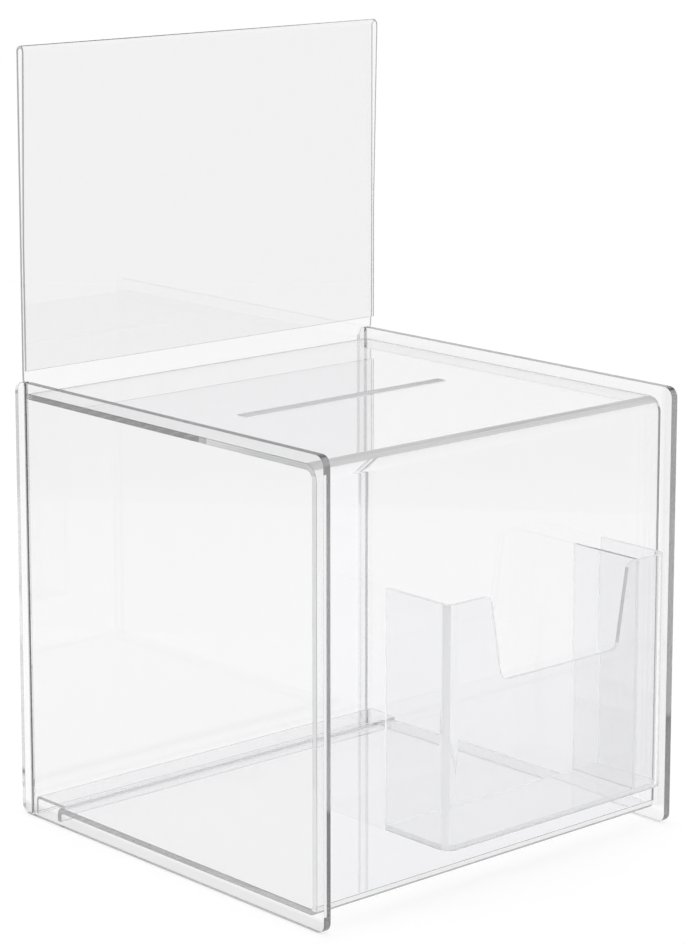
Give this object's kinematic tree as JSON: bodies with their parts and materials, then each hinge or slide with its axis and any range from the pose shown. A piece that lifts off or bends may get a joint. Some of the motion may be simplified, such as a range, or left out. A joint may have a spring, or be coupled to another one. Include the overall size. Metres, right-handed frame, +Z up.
{
  "type": "ballot box",
  "caption": "Clear acrylic ballot box with a slotted top, a lift-out back door that folds into a poster header, and a leaflet and pen pocket on its front.",
  "frame": {"origin": "on the table under the middle of the whole outline, front pocket included", "axes": "+Z up, the front with the pocket faces -Y, +X to the right seen from the front"},
  "size_m": [0.31, 0.355, 0.5205],
  "materials": {
    "thick_acrylic": "clear sheet with polished edges",
    "bent_acrylic": "clear sheet, hot-wire bends, polished edges",
    "thin_acrylic": "clear thin sheet, hot-wire bends, polished edges",
    "pocket_acrylic": "clear sheet, polished edges"
  },
  "bodies": {
    "case": {"left_side_panel": "thick_acrylic", "right_side_panel": "thick_acrylic", "front_shell": "bent_acrylic", "rear_sill_angle": "thin_acrylic", "pocket_sleeve": "pocket_acrylic", "pocket_floor": "pocket_acrylic", "pen_divider": "pocket_acrylic"},
    "door": {"back_door_with_header": "thin_acrylic"}
  },
  "joints": [
    {"name": "door_lift", "type": "slide", "parent": "case", "child": "door", "axis": [0, 0, 1], "range_m": [0, 0.285]}
  ]
}
